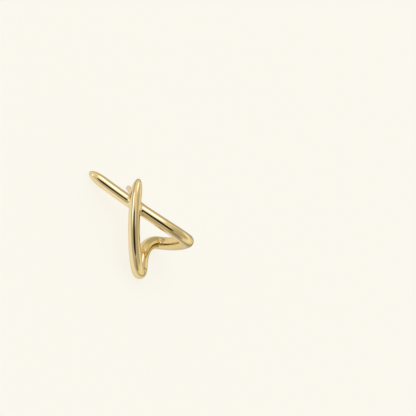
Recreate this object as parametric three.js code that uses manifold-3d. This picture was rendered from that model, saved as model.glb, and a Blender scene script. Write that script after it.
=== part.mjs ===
// Stud earring: two polished wire bars that cross in an X in front of the ear lobe. Each bar bends under
// the lobe in a round heel and comes back behind it as an arm, and the two arms meet in a V. A straight
// post stands behind the crossing. All of it is soldered metal, so it is one solid.
// Millimetres. The wires are described as they are worn: X across the lobe, Y into the ear, Z up, with the
// origin at the crossing. The finished solid then lies on its side, as it rests on a table, which is Z = 0.
import * as THREE from 'three';
import { mergeVertices } from 'three/addons/utils/BufferGeometryUtils.js';
import Module from 'manifold-3d';

// Each wire runs from its bar's tip to its heel and on to the V. The bar is a cubic curve that upper and
// shin steer, bendRadius rounds the heel's corner, and armBow steers the curve of the arm.
const rearWire = {
  tip: [-3.1, 2.45, 7.7],
  upper: [-0.65, 1.1, 0.25],
  shin: [3.25, -3.85, -6.35],
  heel: [3.85, 0, -9.9],
  bendRadius: 1.2,
  armBow: [2.25, 3.9, -10.9],
};
const frontWire = {
  tip: [2.8, 1.05, 2.75],
  upper: [-1.1, -1.4, -0.4],
  shin: [-5.5, -4.1, -7.6],
  heel: [-5.1, 0, -10.15],
  bendRadius: 1.08,
  armBow: [-2.3, 2.2, -6.6],
};
const armsMeet = [-0.45, 5.3, -8.9]; // the V behind the lobe

const barRadius = 0.92;
const armRadius = 1.03;
const swellPower = 4; // a bar swells to its arm's radius by this power of its share of the way to the heel
const noseLength = 2.7; // over which a bar rounds off to its tip
const armEndLength = armRadius; // of the round end that an arm has past the V

const postRadius = 0.4;
const postRoot = [0.6, -0.1, -0.8];
const postTip = [0.6, 7.5, 0.65];
const postChamfer = 0.1;
const solderFillet = 0.25;
const solderHeight = 0.95; // from the post's root to the foot of its fillet

const ringSides = 20;
const ringStep = 0.55; // between the rings of a loft
const heelStep = 0.3; // between its rings round a heel
const roundRings = 7; // in each of its round ends
const postSides = 16;
const filletSteps = 4;

const tablePasses = 6; // of the search for the three points that touch the table
const contactReach = 2.5; // how far such a point may lie from the place that is named for it

const gold = new THREE.MeshStandardMaterial({ color: 0xe4c77a, roughness: 0.12, metalness: 1 });

const point = (xyz) => new THREE.Vector3(...xyz);
const { lerp, smoothstep, degToRad } = THREE.MathUtils;
const quarterTurn = degToRad(90);

// A round corner of the given radius between the lines corner-before and corner-after.
class RoundCorner extends THREE.Curve {
  constructor(before, corner, after, radius) {
    super();
    const toBefore = before.clone().sub(corner).normalize();
    const toAfter = after.clone().sub(corner).normalize();
    const halfAngle = toBefore.angleTo(toAfter) / 2;
    const straight = radius / Math.tan(halfAngle);
    const middle = toBefore.clone().add(toAfter).normalize();
    this.centre = corner.clone().addScaledVector(middle, radius / Math.sin(halfAngle));
    this.firstSpoke = toBefore.multiplyScalar(straight).add(corner).sub(this.centre);
    const lastSpoke = toAfter.multiplyScalar(straight).add(corner).sub(this.centre);
    this.axle = this.firstSpoke.clone().cross(lastSpoke).normalize();
    this.turn = this.firstSpoke.angleTo(lastSpoke);
  }

  getPoint(t, target = new THREE.Vector3()) {
    return target.copy(this.firstSpoke).applyAxisAngle(this.axle, this.turn * t).add(this.centre);
  }
}

// The arms' inner side faces up, square to the plane that holds both heels and the V.
const toRearHeel = point(rearWire.heel).sub(point(armsMeet));
const toFrontHeel = point(frontWire.heel).sub(point(armsMeet));
const armInner = toFrontHeel.clone().cross(toRearHeel).normalize();
const barInner = new THREE.Vector3(0, 1, 0);

// Distances along a wire between two places, the first one included.
function evenPlaces(from, to, step) {
  const count = Math.ceil((to - from) / step);
  return Array.from({ length: count }, (_, i) => lerp(from, to, i / count));
}

// Distances along a wire in its round end, from its pole to its shoulder, with neither of them included.
function roundPlaces(pole, shoulder) {
  return Array.from({ length: roundRings }, (_, i) => {
    const angle = (quarterTurn * (i + 1)) / (roundRings + 1);
    return lerp(pole, shoulder, 1 - Math.cos(angle));
  });
}

// The share of its full radius that a wire has at a distance from the pole of a round end of length reach.
const fullness = (distance, reach) => (distance < reach ? Math.sqrt(1 - (1 - distance / reach) ** 2) : 1);

// One wire as a closed loft: round rings along its path, with a pole at each end.
function wireGeometry(wire) {
  const shin = point(wire.shin);
  const armBow = point(wire.armBow);
  const meet = point(armsMeet);
  const corner = new RoundCorner(shin, point(wire.heel), armBow, wire.bendRadius);
  const bar = new THREE.CubicBezierCurve3(point(wire.tip), point(wire.upper), shin, corner.getPoint(0));
  const arm = new THREE.QuadraticBezierCurve3(corner.getPoint(1), armBow, meet);
  const armEnd = new THREE.LineCurve3(meet, meet.clone().addScaledVector(arm.getTangent(1), armEndLength));
  const path = new THREE.CurvePath();
  path.curves.push(bar, corner, arm, armEnd);

  const [heelStart, armStart, armStop, length] = path.getCurveLengths();
  const places = [
    ...roundPlaces(0, noseLength),
    ...evenPlaces(noseLength, heelStart, ringStep),
    ...evenPlaces(heelStart, armStart, heelStep),
    ...evenPlaces(armStart, armStop, ringStep),
    armStop,
    ...roundPlaces(length, armStop).reverse(),
  ];

  const positions = [];
  for (const place of places) {
    const centre = path.getPoint(place / length);
    const tangent = path.getTangent(place / length);
    const inner = barInner.clone().lerp(armInner, smoothstep(place, heelStart, armStart));
    const depth = inner.addScaledVector(tangent, -inner.dot(tangent)).normalize();
    const width = depth.clone().cross(tangent);
    const swell = Math.min(place / heelStart, 1) ** swellPower;
    const full = fullness(place, noseLength) * fullness(length - place, armEndLength);
    const radius = full * lerp(barRadius, armRadius, swell);
    for (let k = 0; k < ringSides; k++) {
      const angle = (4 * quarterTurn * k) / ringSides;
      const at = centre.clone();
      at.addScaledVector(width, radius * Math.cos(angle));
      at.addScaledVector(depth, radius * Math.sin(angle));
      positions.push(...at);
    }
  }
  positions.push(...path.getPoint(0), ...path.getPoint(1));

  const startPole = places.length * ringSides;
  const endPole = startPole + 1;
  const lastRing = startPole - ringSides;
  const faces = [];
  for (let k = 0; k < ringSides; k++) {
    const next = (k + 1) % ringSides;
    for (let ring = 0; ring < lastRing; ring += ringSides) {
      faces.push(ring + k, ring + next, ring + ringSides + next);
      faces.push(ring + k, ring + ringSides + next, ring + ringSides + k);
    }
    faces.push(startPole, next, k);
    faces.push(endPole, lastRing + k, lastRing + next);
  }
  const geometry = new THREE.BufferGeometry();
  geometry.setAttribute('position', new THREE.Float32BufferAttribute(positions, 3));
  geometry.setIndex(faces);
  return geometry;
}

// The post: a round pin with a solder fillet at its root and a flat, chamfered end.
function postGeometry() {
  const reach = point(postTip).sub(point(postRoot));
  const length = reach.length();
  const fillet = Array.from({ length: filletSteps + 1 }, (_, i) => {
    const angle = (quarterTurn * i) / filletSteps;
    return new THREE.Vector2(
      postRadius + solderFillet * (1 - Math.sin(angle)),
      solderHeight + solderFillet * (1 - Math.cos(angle)),
    );
  });
  const profile = [
    new THREE.Vector2(0, 0),
    new THREE.Vector2(postRadius + solderFillet, 0),
    ...fillet,
    new THREE.Vector2(postRadius, length - postChamfer),
    new THREE.Vector2(postRadius - postChamfer, length),
    new THREE.Vector2(0, length),
  ];
  const alongY = new THREE.Vector3(0, 1, 0);
  const geometry = new THREE.LatheGeometry(profile, postSides);
  geometry.applyQuaternion(new THREE.Quaternion().setFromUnitVectors(alongY, reach.normalize()));
  return geometry.translate(...postRoot);
}

const wasm = await Module();
wasm.setup();

// A geometry as a manifold-3d solid, with the vertices that share a place merged.
function solidFrom(geometry) {
  geometry.deleteAttribute('normal');
  geometry.deleteAttribute('uv');
  const merged = mergeVertices(geometry);
  return new wasm.Manifold(
    new wasm.Mesh({
      numProp: 3,
      vertProperties: merged.attributes.position.array,
      triVerts: new Uint32Array(merged.index.array),
    }),
  );
}

function geometryFrom(solid) {
  const mesh = solid.getMesh();
  const geometry = new THREE.BufferGeometry();
  geometry.setAttribute('position', new THREE.BufferAttribute(mesh.vertProperties, 3));
  geometry.setIndex(new THREE.BufferAttribute(mesh.triVerts, 1));
  return geometry;
}

// Turns the geometry so that it touches the table near each of three places, which run counter-clockwise as
// seen from above, and puts the middle of its underside at the origin.
function layOnTable(geometry, places) {
  const vertices = geometry.attributes.position;
  const lowestNear = (place, up) => {
    let lowest = place;
    for (let i = 0; i < vertices.count; i++) {
      const vertex = new THREE.Vector3().fromBufferAttribute(vertices, i);
      if (vertex.distanceTo(place) < contactReach && vertex.dot(up) < lowest.dot(up)) lowest = vertex;
    }
    return lowest;
  };
  const up = new THREE.Vector3();
  let touching = places;
  for (let pass = 0; pass < tablePasses; pass++) {
    const [a, b, c] = touching;
    up.crossVectors(b.clone().sub(a), c.clone().sub(a)).normalize();
    touching = places.map((place) => lowestNear(place, up));
  }
  geometry.applyQuaternion(new THREE.Quaternion().setFromUnitVectors(up, new THREE.Vector3(0, 0, 1)));
  geometry.computeBoundingBox();
  const { min, max } = geometry.boundingBox;
  return geometry.translate(-(min.x + max.x) / 2, -(min.y + max.y) / 2, -min.z);
}

const soldered = [wireGeometry(rearWire), wireGeometry(frontWire), postGeometry()]
  .map(solidFrom)
  .reduce((whole, piece) => whole.add(piece));
const restsOn = [point(rearWire.tip), point(frontWire.heel), point(postTip)];

const stud = new THREE.Mesh(layOnTable(geometryFrom(soldered), restsOn), gold);
stud.name = 'crossed_bar_stud';

const earring = new THREE.Group();
earring.add(stud);

export default earring;
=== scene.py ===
# Mirror-polished stud earring of two crossed gold wires, lying on a plain pale surface.
# The stud's sizes are millimetres in the frame in which it is worn: X across the ear lobe, Y into the ear,
# Z up, with the origin at the crossing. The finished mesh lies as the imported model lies, in metres.
import math
from collections import namedtuple

import bpy
import numpy as np
from mathutils import Matrix, Vector, noise


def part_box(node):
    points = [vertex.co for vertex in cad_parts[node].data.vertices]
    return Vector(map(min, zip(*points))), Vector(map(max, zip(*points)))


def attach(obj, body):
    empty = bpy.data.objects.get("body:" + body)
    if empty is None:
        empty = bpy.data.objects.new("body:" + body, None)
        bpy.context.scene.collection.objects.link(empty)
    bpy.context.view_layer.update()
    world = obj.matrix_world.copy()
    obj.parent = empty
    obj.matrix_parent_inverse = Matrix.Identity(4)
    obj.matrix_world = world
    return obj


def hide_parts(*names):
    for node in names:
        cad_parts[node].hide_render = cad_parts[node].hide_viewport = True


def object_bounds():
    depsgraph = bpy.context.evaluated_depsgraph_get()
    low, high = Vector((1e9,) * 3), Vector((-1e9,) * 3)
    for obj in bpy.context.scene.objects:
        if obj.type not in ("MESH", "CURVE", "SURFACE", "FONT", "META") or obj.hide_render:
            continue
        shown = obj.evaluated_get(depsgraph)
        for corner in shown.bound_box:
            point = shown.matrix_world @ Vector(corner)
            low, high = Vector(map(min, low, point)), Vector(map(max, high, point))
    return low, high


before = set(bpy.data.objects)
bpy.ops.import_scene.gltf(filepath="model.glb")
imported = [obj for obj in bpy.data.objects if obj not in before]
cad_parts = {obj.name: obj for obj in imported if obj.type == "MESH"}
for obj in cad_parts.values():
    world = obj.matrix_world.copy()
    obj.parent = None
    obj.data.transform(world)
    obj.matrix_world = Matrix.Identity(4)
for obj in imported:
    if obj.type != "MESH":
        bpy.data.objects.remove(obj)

NODE = "crossed_bar_stud"
MM = 0.001

cad_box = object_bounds()

# ---------------------------------------------------------------- the stud's driving sizes, millimetres

# Each wire runs from its bar's tip to its heel and on to the V behind the lobe, where the arms meet. The bar
# is a cubic curve that upper and shin steer, bend_radius rounds the heel's corner, and arm_bow steers the arm.
REAR_WIRE = {
    "tip": (-3.1, 2.45, 7.7),
    "upper": (-0.65, 1.1, 0.25),
    "shin": (3.25, -3.85, -6.35),
    "heel": (3.85, 0, -9.9),
    "bend_radius": 1.2,
    "arm_bow": (2.25, 3.9, -10.9),
}
FRONT_WIRE = {
    "tip": (2.8, 1.05, 2.75),
    "upper": (-1.1, -1.4, -0.4),
    "shin": (-5.5, -4.1, -7.6),
    "heel": (-5.1, 0, -10.15),
    "bend_radius": 1.08,
    "arm_bow": (-2.3, 2.2, -6.6),
}
ARMS_MEET = (-0.45, 5.3, -8.9)

BAR_RADIUS = 0.92
ARM_RADIUS = 1.03
SWELL_POWER = 4  # a bar swells to its arm's radius by this power of its share of the way to the heel
NOSE_LENGTH = 2.7  # over which a bar rounds off to its tip

POST_RADIUS = 0.4
POST_ROOT = (0.6, -0.1, -0.8)
POST_TIP = (0.6, 7.5, 0.65)
POST_EDGE = 0.1  # radius of its rounded edges

SOLDER = 0.4  # how far from the other wire a wire's surface starts to rise into their solder fillet
SEAM = 0.12  # the same where the arms meet
SEAM_REACH = 2.2  # how far from the arms' meeting point that holds
WAVE_HEIGHT = 0.006  # of the slight unevenness that hand polishing leaves
WAVE_LENGTH = 2.2

# The arms' painted reflection, a deeper gold as if they mirrored the other gold wires and not the bright
# floor: how far into the ear it starts and is full, and the height that it stays below.
PAINTED_ARM_REFLECTION_FROM = -0.6
PAINTED_ARM_REFLECTION_FULL = 1.2
PAINTED_ARM_REFLECTION_BELOW = -4

CONTACT_REACH = 2.5  # how far a point of contact with the table may lie from the place named for it
TABLE_PASSES = 6  # of the search for the three points of contact

# ---------------------------------------------------------------- how finely it is made, millimetres

# Points along the parts of a path, before it is measured out in even steps.
BAR_POINTS = 1200
CORNER_POINTS = 200
ARM_POINTS = 400
POST_POINTS = 100

PATH_STEP = 0.02  # between the points of a path that is measured out
RING_STEP = 0.15  # between the rings of a rod's skin
RING_SIDES = 48
ROUND_RINGS = 16  # in each of its round ends
FIRST_SIDE = (0.3, 1.0, 0.1)  # a direction that no path starts in, from which its rings are turned
PATH_CHUNKS = 40  # in which vertices are compared with a path, to save memory

VOXEL = 0.072  # edge of the cells in which the rods are joined
EVEN_FACTOR = 0.5  # of the smoothing that takes out the cells' steps
EVEN_ROUNDS = 8
SETTLE_ROUNDS = 5  # of moving the joined mesh onto the true surface


# ---------------------------------------------------------------- shapes

def unit(vector):
    return vector / np.linalg.norm(vector)


def bezier(points, count):
    """Points along a Bezier curve of any degree, both ends included."""
    t = np.linspace(0, 1, count)[:, None]
    level = [np.array(point, float) for point in points]
    while len(level) > 1:
        level = [a + (b - a) * t for a, b in zip(level, level[1:])]
    return level[0]


def round_corner(before, corner, after, radius, count):
    """An arc of the given radius between the lines corner-before and corner-after."""
    to_before = unit(before - corner)
    to_after = unit(after - corner)
    half = math.acos(to_before @ to_after) / 2
    centre = corner + unit(to_before + to_after) * radius / math.sin(half)
    first = corner + to_before * radius / math.tan(half) - centre
    last = corner + to_after * radius / math.tan(half) - centre
    across = unit(last - first * (first @ last) / (first @ first)) * radius
    angles = np.linspace(0, math.pi - 2 * half, count)[:, None]
    return centre + first * np.cos(angles) + across * np.sin(angles)


def carried_along(tangents, start):
    """A direction square to each tangent, carried along the path without twisting."""
    side = start
    sides = []
    for tangent in tangents:
        side = unit(side - tangent * (side @ tangent))
        sides.append(side)
    return np.array(sides)


def skin(rings, poles):
    """Vertices and faces of a closed surface over rings of equal length, with a pole past each end."""
    count, sides, _ = rings.shape
    vertices = np.concatenate([rings.reshape(-1, 3), np.array(poles)])
    start_pole = count * sides
    end_pole = start_pole + 1
    last_ring = start_pole - sides
    faces = []
    for k in range(sides):
        following = (k + 1) % sides
        for ring in range(0, last_ring, sides):
            next_ring = ring + sides
            faces.append((ring + k, ring + following, next_ring + following, next_ring + k))
        faces.append((start_pole, following, k))
        faces.append((end_pole, last_ring + k, last_ring + following))
    return vertices, faces


class Rod:
    """A round rod along a path, with a rounding of its own length at each end."""

    def __init__(self, path, radius_at, start_round, end_round):
        steps = np.linalg.norm(np.diff(path, axis=0), axis=1)
        distance = np.concatenate([[0], np.cumsum(steps)])
        self.length = distance[-1]
        self.places = np.linspace(0, self.length, round(self.length / PATH_STEP))
        self.path = np.stack([np.interp(self.places, distance, path[:, i]) for i in range(3)], axis=1)
        self.tangents = np.gradient(self.path, axis=0)
        self.tangents /= np.linalg.norm(self.tangents, axis=1, keepdims=True)
        self.radius_at = radius_at
        self.start_round = start_round
        self.end_round = end_round

    def past_round(self, place):
        """How far into the rounding of its nearer end a place lies, and that rounding's length."""
        near_start = place < self.length / 2
        depth = np.where(near_start, self.start_round - place, place - self.length + self.end_round)
        return np.maximum(depth, 0), np.where(near_start, self.start_round, self.end_round)

    def skin(self):
        """Vertices and faces of the rod's closed surface."""
        turn = np.linspace(0, math.pi / 2, ROUND_RINGS + 2)[1:-1]
        start = self.start_round * (1 - np.cos(turn))
        end = self.length - self.end_round * (1 - np.cos(turn))
        body = np.linspace(self.start_round, self.length - self.end_round, round(self.length / RING_STEP))
        places = np.concatenate([start, body, end[::-1]])
        depth, reach = self.past_round(places)
        radius = self.radius_at(places) * np.sqrt(1 - (depth / reach) ** 2)
        at = np.round(places / self.length * (len(self.places) - 1)).astype(int)
        side = carried_along(self.tangents[at], np.array(FIRST_SIDE))
        other = np.cross(side, self.tangents[at])
        angles = np.linspace(0, 2 * math.pi, RING_SIDES, endpoint=False)[:, None]
        around = other[:, None] * np.cos(angles) + side[:, None] * np.sin(angles)
        rings = self.path[at][:, None] + around * radius[:, None, None]
        return skin(rings, [self.path[0], self.path[-1]])

    def distance(self, points):
        """How far points lie outside the rod's surface, to first order, and the way out of it."""
        nearest = np.empty(len(points), int)
        half_squares = (self.path ** 2).sum(axis=1) / 2
        for chunk in np.array_split(np.arange(len(points)), PATH_CHUNKS):
            nearest[chunk] = np.argmin(half_squares - points[chunk] @ self.path.T, axis=1)
        offset = points - self.path[nearest]
        tangents = self.tangents[nearest]
        along = (offset * tangents).sum(axis=1)
        across = offset - along[:, None] * tangents
        place = self.places[nearest] + along
        radius = self.radius_at(place)
        depth, reach = self.past_round(place)
        level = np.hypot(np.linalg.norm(across, axis=1) / radius, depth / reach)
        lengthways = np.where(place < self.length / 2, -1, 1) * depth / reach ** 2
        slope = across / radius[:, None] ** 2 + tangents * lengthways[:, None]
        steepness = np.linalg.norm(slope, axis=1)
        return (level - 1) * level / steepness, slope / steepness[:, None]


def wire_rod(wire):
    point = {name: np.array(value, float) for name, value in wire.items()}
    meet = np.array(ARMS_MEET)
    corner = round_corner(point["shin"], point["heel"], point["arm_bow"], wire["bend_radius"], CORNER_POINTS)
    bar = bezier([point["tip"], point["upper"], point["shin"], corner[0]], BAR_POINTS)
    arm = bezier([corner[-1], point["arm_bow"], meet], ARM_POINTS)
    end = meet + unit(meet - point["arm_bow"]) * ARM_RADIUS
    path = np.concatenate([bar, corner[1:], arm[1:], end[None]])
    heel_place = np.linalg.norm(np.diff(bar, axis=0), axis=1).sum()

    def radius_at(place):
        swell = np.clip(place / heel_place, 0, 1) ** SWELL_POWER
        return BAR_RADIUS + (ARM_RADIUS - BAR_RADIUS) * swell

    return Rod(path, radius_at, NOSE_LENGTH, ARM_RADIUS)


def post_rod():
    path = np.linspace(POST_ROOT, POST_TIP, POST_POINTS)
    return Rod(path, lambda place: np.full(len(place), POST_RADIUS), POST_EDGE, POST_EDGE)


def joined_distance(points, rods):
    """Distance outside the rods with solder fillets between them, and the share of solder at each point."""
    nearest, outward = rods[0].distance(points)
    solder = np.zeros(len(points))
    fillet = np.where(np.linalg.norm(points - ARMS_MEET, axis=1) < SEAM_REACH, SEAM, SOLDER)
    for rod in rods[1:]:
        other, other_outward = rod.distance(points)
        corner = np.clip(1 - (outward * other_outward).sum(axis=1), 0, 1)
        blend = np.maximum(fillet - np.abs(nearest - other), 0) / fillet
        closer = (other < nearest)[:, None]
        outward = np.where(closer, other_outward, outward)
        # A quadratic smooth minimum, and a plain one where both surfaces face the same way.
        nearest = np.minimum(nearest, other) - blend ** 2 * corner * fillet / 4
        solder = np.maximum(solder, blend * corner)
    return nearest, solder


def mesh_object(name, vertices, faces):
    mesh = bpy.data.meshes.new(name)
    mesh.from_pydata([tuple(v) for v in vertices], [], faces)
    mesh.update()
    made = bpy.data.objects.new(name, mesh)
    bpy.context.scene.collection.objects.link(made)
    return made


def apply_modifiers(piece):
    """Replaces the piece's mesh by the one its modifiers give."""
    graph = bpy.context.evaluated_depsgraph_get()
    mesh = bpy.data.meshes.new_from_object(piece.evaluated_get(graph))
    piece.modifiers.clear()
    old, piece.data = piece.data, mesh
    bpy.data.meshes.remove(old)


def read_vectors(items, name):
    values = np.empty(len(items) * 3)
    items.foreach_get(name, values)
    return values.reshape(-1, 3)


def place_vertices(mesh, places):
    mesh.vertices.foreach_set("co", places.ravel())
    mesh.update()


def give_attribute(mesh, name, values):
    mesh.attributes.new(name, "FLOAT", "POINT").data.foreach_set("value", values)


def joined(wires, post):
    """One smooth surface over rods that run into each other, as soldered and polished metal."""
    rods = [*wires, post]
    vertices, faces = [], []
    for rod in rods:
        rod_vertices, rod_faces = rod.skin()
        first = sum(len(v) for v in vertices)
        vertices.append(rod_vertices)
        faces += [tuple(first + corner for corner in face) for face in rod_faces]
    piece = mesh_object("polished_stud", np.concatenate(vertices), faces)
    remesh = piece.modifiers.new("join", "REMESH")
    remesh.mode = "VOXEL"
    remesh.voxel_size = VOXEL
    smooth = piece.modifiers.new("even_out", "SMOOTH")
    smooth.factor = EVEN_FACTOR
    smooth.iterations = EVEN_ROUNDS
    apply_modifiers(piece)

    mesh = piece.data
    for _ in range(SETTLE_ROUNDS):
        places = read_vectors(mesh.vertices, "co")
        normals = read_vectors(mesh.vertex_normals, "vector")
        outside, solder = joined_distance(places, rods)
        waves = np.array([noise.noise(Vector(place) / WAVE_LENGTH) for place in places]) * WAVE_HEIGHT
        place_vertices(mesh, places - normals * (outside - waves)[:, None])

    places = read_vectors(mesh.vertices, "co")
    off_post, _ = post.distance(places)
    painted_reflection_share = np.clip((places[:, 1] - PAINTED_ARM_REFLECTION_FROM) / (PAINTED_ARM_REFLECTION_FULL - PAINTED_ARM_REFLECTION_FROM), 0, 1)
    give_attribute(mesh, "solder", solder)
    give_attribute(mesh, "post", np.clip(1 - off_post / POST_RADIUS, 0, 1))
    # painted reflection: the arms low behind the lobe get a deeper gold, standing in for their mirror image of
    # the other gold wires
    give_attribute(mesh, "arm", np.where(places[:, 2] < PAINTED_ARM_REFLECTION_BELOW, painted_reflection_share, 0))
    return piece


def lay_on_table(places, contacts):
    """Turns and moves worn-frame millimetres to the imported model's resting place, in metres."""
    contacts = [np.array(contact, float) for contact in contacts]
    touching = contacts
    for _ in range(TABLE_PASSES):
        a, b, c = touching
        up = unit(np.cross(b - a, c - a))
        touching = []
        for contact in contacts:
            near = places[np.linalg.norm(places - contact, axis=1) < CONTACT_REACH]
            touching.append(near[np.argmin(near @ up)])
    turn = Vector(up).rotation_difference(Vector((0, 0, 1))).to_matrix()
    laid = places @ np.array(turn).T * MM
    low, high = laid.min(axis=0), laid.max(axis=0)
    cad_low, cad_high = (np.array(corner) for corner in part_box(NODE))
    laid[:, :2] += (cad_low + cad_high - low - high)[:2] / 2
    laid[:, 2] += cad_low[2] - low[2]
    return laid


stud = joined([wire_rod(REAR_WIRE), wire_rod(FRONT_WIRE)], post_rod())
worn_places = read_vectors(stud.data.vertices, "co")
place_vertices(stud.data, lay_on_table(worn_places, [REAR_WIRE["tip"], FRONT_WIRE["heel"], POST_TIP]))
stud.data.polygons.foreach_set("use_smooth", np.ones(len(stud.data.polygons), bool))


# ---------------------------------------------------------------- node trees

def in_use(sockets):
    """The sockets that the options of their node leave in use."""
    return [socket for socket in sockets if socket.enabled]


def add(tree, kind, *values, output=None, **settings):
    """Adds a node, sets its options, fills its inputs in order, and gives back its named or first output."""
    node = tree.nodes.new(kind)
    for name, value in settings.items():
        setattr(node, name, value)
    for socket, value in zip(in_use(node.inputs), values):
        if isinstance(value, bpy.types.NodeSocket):
            tree.links.new(value, socket)
        elif value is not None:
            socket.default_value = value
    return node.outputs[output] if output else in_use(node.outputs)[0]


def arithmetic(tree, operation, *values):
    return add(tree, "ShaderNodeMath", *values, operation=operation)


def mix_colours(tree, factor, first, second):
    return add(tree, "ShaderNodeMix", factor, first, second, data_type="RGBA")


def noise_texture(tree, place, scale, detail, roughness):
    return add(tree, "ShaderNodeTexNoise", place, scale, detail, roughness)


def smooth_range(tree, value, low, high, to_low, to_high):
    return add(tree, "ShaderNodeMapRange", value, low, high, to_low, to_high, interpolation_type="SMOOTHSTEP")


# ---------------------------------------------------------------- polished gold

# The wires' gold changes between these two with the clouds of a noise, whose scale is in cells a metre.
PALE_GOLD = (0.92, 0.76, 0.465, 1)
DEEP_GOLD = (0.89, 0.73, 0.425, 1)
CLOUDS = {"scale": 350.0, "detail": 3.0, "roughness": 0.5}
CLOUD_RANGE = (0.35, 0.65)

# Laid over that gold in this order, each by the mesh attribute of its name.
PART_COLOURS = {
    "solder": (0.90, 0.75, 0.48, 1),
    # arm: painted reflection, a deeper gold where the arms would mirror the other gold wires rather than the
    # bright floor
    "arm": (0.80, 0.64, 0.34, 1),
    "post": (0.85, 0.68, 0.48, 1),
}
EDGE_TINT = (0.82, 0.78, 0.66, 1)  # of what the gold mirrors at a glancing angle

# What polishing leaves: smears, which set the roughness, and long fine marks.
SMEARS = {"scale": 900.0, "detail": 4.0, "roughness": 0.6}
SMEAR_RANGE = (0.35, 0.7)
ROUGHNESS = (0.02, 0.07)
MARKS = {"scale": 1.0, "detail": 3.0, "roughness": 0.6}
MARKS_TURN = (0.3, 0.5, 0.7)  # keeps the noise's own grid out of line with the marks, radians
MARKS_SCALE = (400, 5000, 5000)  # cells a metre along the marks and across them
MARKS_SHARE = 0.2  # of their noise that is added to the smears' height
BUMP_STRENGTH = 1.0
BUMP_DEPTH = 0.0015 * MM


def polished_gold():
    material = bpy.data.materials.new("polished_gold")
    material.use_nodes = True
    tree = material.node_tree
    shader = tree.nodes["Principled BSDF"]
    place = add(tree, "ShaderNodeTexCoord", output="Object")

    clouds = noise_texture(tree, place, **CLOUDS)
    cloudy = smooth_range(tree, clouds, *CLOUD_RANGE, 0.0, 1.0)
    colour = mix_colours(tree, cloudy, PALE_GOLD, DEEP_GOLD)
    for part, part_colour in PART_COLOURS.items():
        share = add(tree, "ShaderNodeAttribute", output="Fac", attribute_name=part)
        colour = mix_colours(tree, share, colour, part_colour)
    tree.links.new(colour, shader.inputs["Base Color"])

    smears = noise_texture(tree, place, **SMEARS)
    roughness = smooth_range(tree, smears, *SMEAR_RANGE, *ROUGHNESS)
    tree.links.new(roughness, shader.inputs["Roughness"])

    marks_place = add(tree, "ShaderNodeMapping", place, None, MARKS_TURN, MARKS_SCALE)
    marks = arithmetic(tree, "MULTIPLY", noise_texture(tree, marks_place, **MARKS), MARKS_SHARE)
    height = arithmetic(tree, "ADD", marks, smears)
    bump = add(tree, "ShaderNodeBump", BUMP_STRENGTH, BUMP_DEPTH, None, height)
    tree.links.new(bump, shader.inputs["Normal"])

    shader.inputs["Metallic"].default_value = 1.0
    shader.inputs["Specular Tint"].default_value = EDGE_TINT
    return material


stud.data.materials.clear()
stud.data.materials.append(polished_gold())

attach(stud, "root")
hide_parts(NODE)


# ---------------------------------------------------------------- camera

FRAME_PIXELS = 416
PIXEL = 0.157 * MM  # real size of one pixel at the stud
STUD_PIXEL = (145.65, 223.4)  # where the middle of the stud's box stands in the frame
CAMERA_AZIMUTH = math.radians(-61.7)  # counter-clockwise from -Y, seen from above
CAMERA_ELEVATION = math.radians(35.8)
CAMERA_ROLL = math.radians(72.5)  # the stud lies on its side, and this brings it upright in the frame
LENS = 300
SENSOR = 36
CLIP_NEAR = 0.05  # of the camera's distance
CLIP_FAR = 20  # times that distance


def camera_axes():
    """The camera's right, up and back."""
    back = np.array([
        math.sin(CAMERA_AZIMUTH) * math.cos(CAMERA_ELEVATION),
        -math.cos(CAMERA_AZIMUTH) * math.cos(CAMERA_ELEVATION),
        math.sin(CAMERA_ELEVATION),
    ])
    level = unit(np.cross([0, 0, 1], back))
    plumb = np.cross(back, level)
    right = level * math.cos(CAMERA_ROLL) + plumb * math.sin(CAMERA_ROLL)
    up = plumb * math.cos(CAMERA_ROLL) - level * math.sin(CAMERA_ROLL)
    return right, up, back


def add_camera():
    data = bpy.data.cameras.new("camera")
    data.lens = LENS
    data.sensor_width = SENSOR
    camera = bpy.data.objects.new("camera", data)
    bpy.context.scene.collection.objects.link(camera)
    right, up, back = camera_axes()
    middle = FRAME_PIXELS / 2
    aim = np.mean(cad_box, axis=0)
    aim = aim + right * (middle - STUD_PIXEL[0]) * PIXEL + up * (STUD_PIXEL[1] - middle) * PIXEL
    distance = FRAME_PIXELS * PIXEL * LENS / SENSOR
    turn = Matrix([right, up, back]).transposed()
    camera.matrix_world = Matrix.Translation(Vector(aim + back * distance)) @ turn.to_4x4()
    data.clip_start = distance * CLIP_NEAR
    data.clip_end = distance * CLIP_FAR
    bpy.context.scene.camera = camera


# ---------------------------------------------------------------- floor

FLOOR_REACH = 3.0  # from the stud to each side of the floor, metres
FLOOR_COLOUR = (0.28, 0.28, 0.30, 1)
FLOOR_ROUGHNESS = 0.9
FLOOR_SPECULAR = 0.1
GLOW_COLOUR = (0.98, 0.96, 0.89, 1)
FLOOR_GLOW = 0.785  # the table top glows a little, so the stud's shadow on it is faint
DIMMED_GLOW = 0.22  # what is left of that in its mirror image on the stud, away from the stud
DIMMED_FROM = 6 * MM  # from the middle of the stud's underside to where the dimming starts
DIMMED_TO = 28 * MM  # and to where it is full


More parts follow.
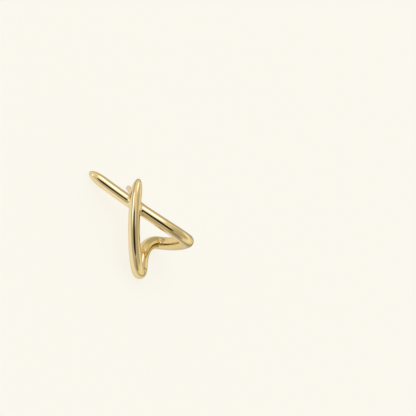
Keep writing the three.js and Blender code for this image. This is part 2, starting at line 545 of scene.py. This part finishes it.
def add_floor():
    """A lit table top. In its mirror image on the stud, and only there, it is dimmed away from the stud."""
    corners = [(x * FLOOR_REACH, y * FLOOR_REACH, 0) for x, y in ((-1, -1), (1, -1), (1, 1), (-1, 1))]
    floor = mesh_object("floor", corners, [(0, 1, 2, 3)])
    material = bpy.data.materials.new("floor")
    material.use_nodes = True
    tree = material.node_tree
    shader = tree.nodes["Principled BSDF"]
    shader.inputs["Base Color"].default_value = FLOOR_COLOUR
    shader.inputs["Roughness"].default_value = FLOOR_ROUGHNESS
    shader.inputs["Specular IOR Level"].default_value = FLOOR_SPECULAR
    shader.inputs["Emission Color"].default_value = GLOW_COLOUR

    place = add(tree, "ShaderNodeTexCoord", output="Object")
    away = add(tree, "ShaderNodeVectorMath", place, operation="LENGTH")
    fallen = smooth_range(tree, away, DIMMED_FROM, DIMMED_TO, FLOOR_GLOW, DIMMED_GLOW)
    mirrored = add(tree, "ShaderNodeLightPath", output="Is Glossy Ray")
    glow = add(tree, "ShaderNodeMix", mirrored, FLOOR_GLOW, fallen, data_type="FLOAT")
    tree.links.new(glow, shader.inputs["Emission Strength"])
    floor.data.materials.append(material)


# ---------------------------------------------------------------- light tent

# The tent's wall and the soft panels in it, each over the ones before it. off_axis is a panel's angle from the
# direction of the camera, and clock its place round that direction, counter-clockwise from the frame's right.
# deep is its half size away from that direction and wide its half size across, softness the share of them over
# which it fades to either side of its edge. All angles are in degrees.
WALL = (0.86, 0.78, 0.56)
Panel = namedtuple("Panel", "off_axis clock deep wide softness light")
PANELS = [
    Panel(130, 60, 38, 42, 0.35, (0.56, 0.52, 0.39)),  # back curtain
    Panel(100, 346, 13, 44, 0.3, (0.94, 0.87, 0.68)),  # warm card
    Panel(26, 231, 24, 30, 0.4, (0.54, 0.52, 0.43)),  # side curtain
    Panel(54, 350, 38, 26, 0.3, (0.48, 0.45, 0.35)),  # lower curtain
    Panel(72, 25, 34, 12, 0.3, (0.60, 0.55, 0.44)),  # front curtain
    Panel(107, 17, 13, 15, 0.4, (1.02, 0.94, 0.72)),  # rear reflector
    Panel(52, 58, 21, 10, 0.24, (1.35, 1.5, 1.85)),  # front softbox
    Panel(27, 16, 11, 5, 0.4, (1.00, 0.90, 0.76)),  # slim reflector
    Panel(40, 158, 9, 14, 0.2, (1.6, 1.9, 2.4)),  # strip softbox
    Panel(54, 286, 24, 20, 0.25, (0.34, 0.30, 0.21)),  # gap in the tent
    Panel(9, 304, 23, 18, 0.15, (0.03, 0.018, 0.006)),  # the camera's own dark front
]
LEAST_SINE = 0.0001  # keeps a division finite at the very middle of a panel and straight opposite it


def panel_mask(tree, direction, panel):
    """1 inside the panel, 0 well outside it."""
    *angles, softness, _ = panel
    off, clock, deep, wide = map(math.radians, angles)
    right, up, back = camera_axes()
    out = right * math.cos(clock) + up * math.sin(clock)
    middle = back * math.cos(off) + out * math.sin(off)
    away = out * math.cos(off) - back * math.sin(off)
    across = up * math.cos(clock) - right * math.sin(clock)

    def along(axis):
        return add(tree, "ShaderNodeVectorMath", direction, Vector(axis), operation="DOT_PRODUCT")

    angle = arithmetic(tree, "ARCCOSINE", along(middle))
    sine = arithmetic(tree, "SINE", angle)
    stretch = arithmetic(tree, "DIVIDE", angle, arithmetic(tree, "MAXIMUM", sine, LEAST_SINE))
    squares = []
    for axis, half_size in ((away, deep), (across, wide)):
        share = arithmetic(tree, "MULTIPLY", along(axis), stretch)
        share = arithmetic(tree, "DIVIDE", share, half_size)
        squares.append(arithmetic(tree, "MULTIPLY", share, share))
    reach = arithmetic(tree, "SQRT", arithmetic(tree, "ADD", *squares))
    return smooth_range(tree, reach, 1 - softness, 1 + softness, 1.0, 0.0)


def add_light():
    world = bpy.data.worlds.new("light_tent")
    bpy.context.scene.world = world
    world.use_nodes = True
    tree = world.node_tree
    direction = add(tree, "ShaderNodeTexCoord", output="Generated")
    colour = (*WALL, 1)
    for panel in PANELS:
        colour = mix_colours(tree, panel_mask(tree, direction, panel), colour, (*panel.light, 1))
    tree.links.new(colour, tree.nodes["Background"].inputs["Color"])


add_camera()
add_floor()
add_light()
bpy.context.scene.view_settings.view_transform = "Standard"
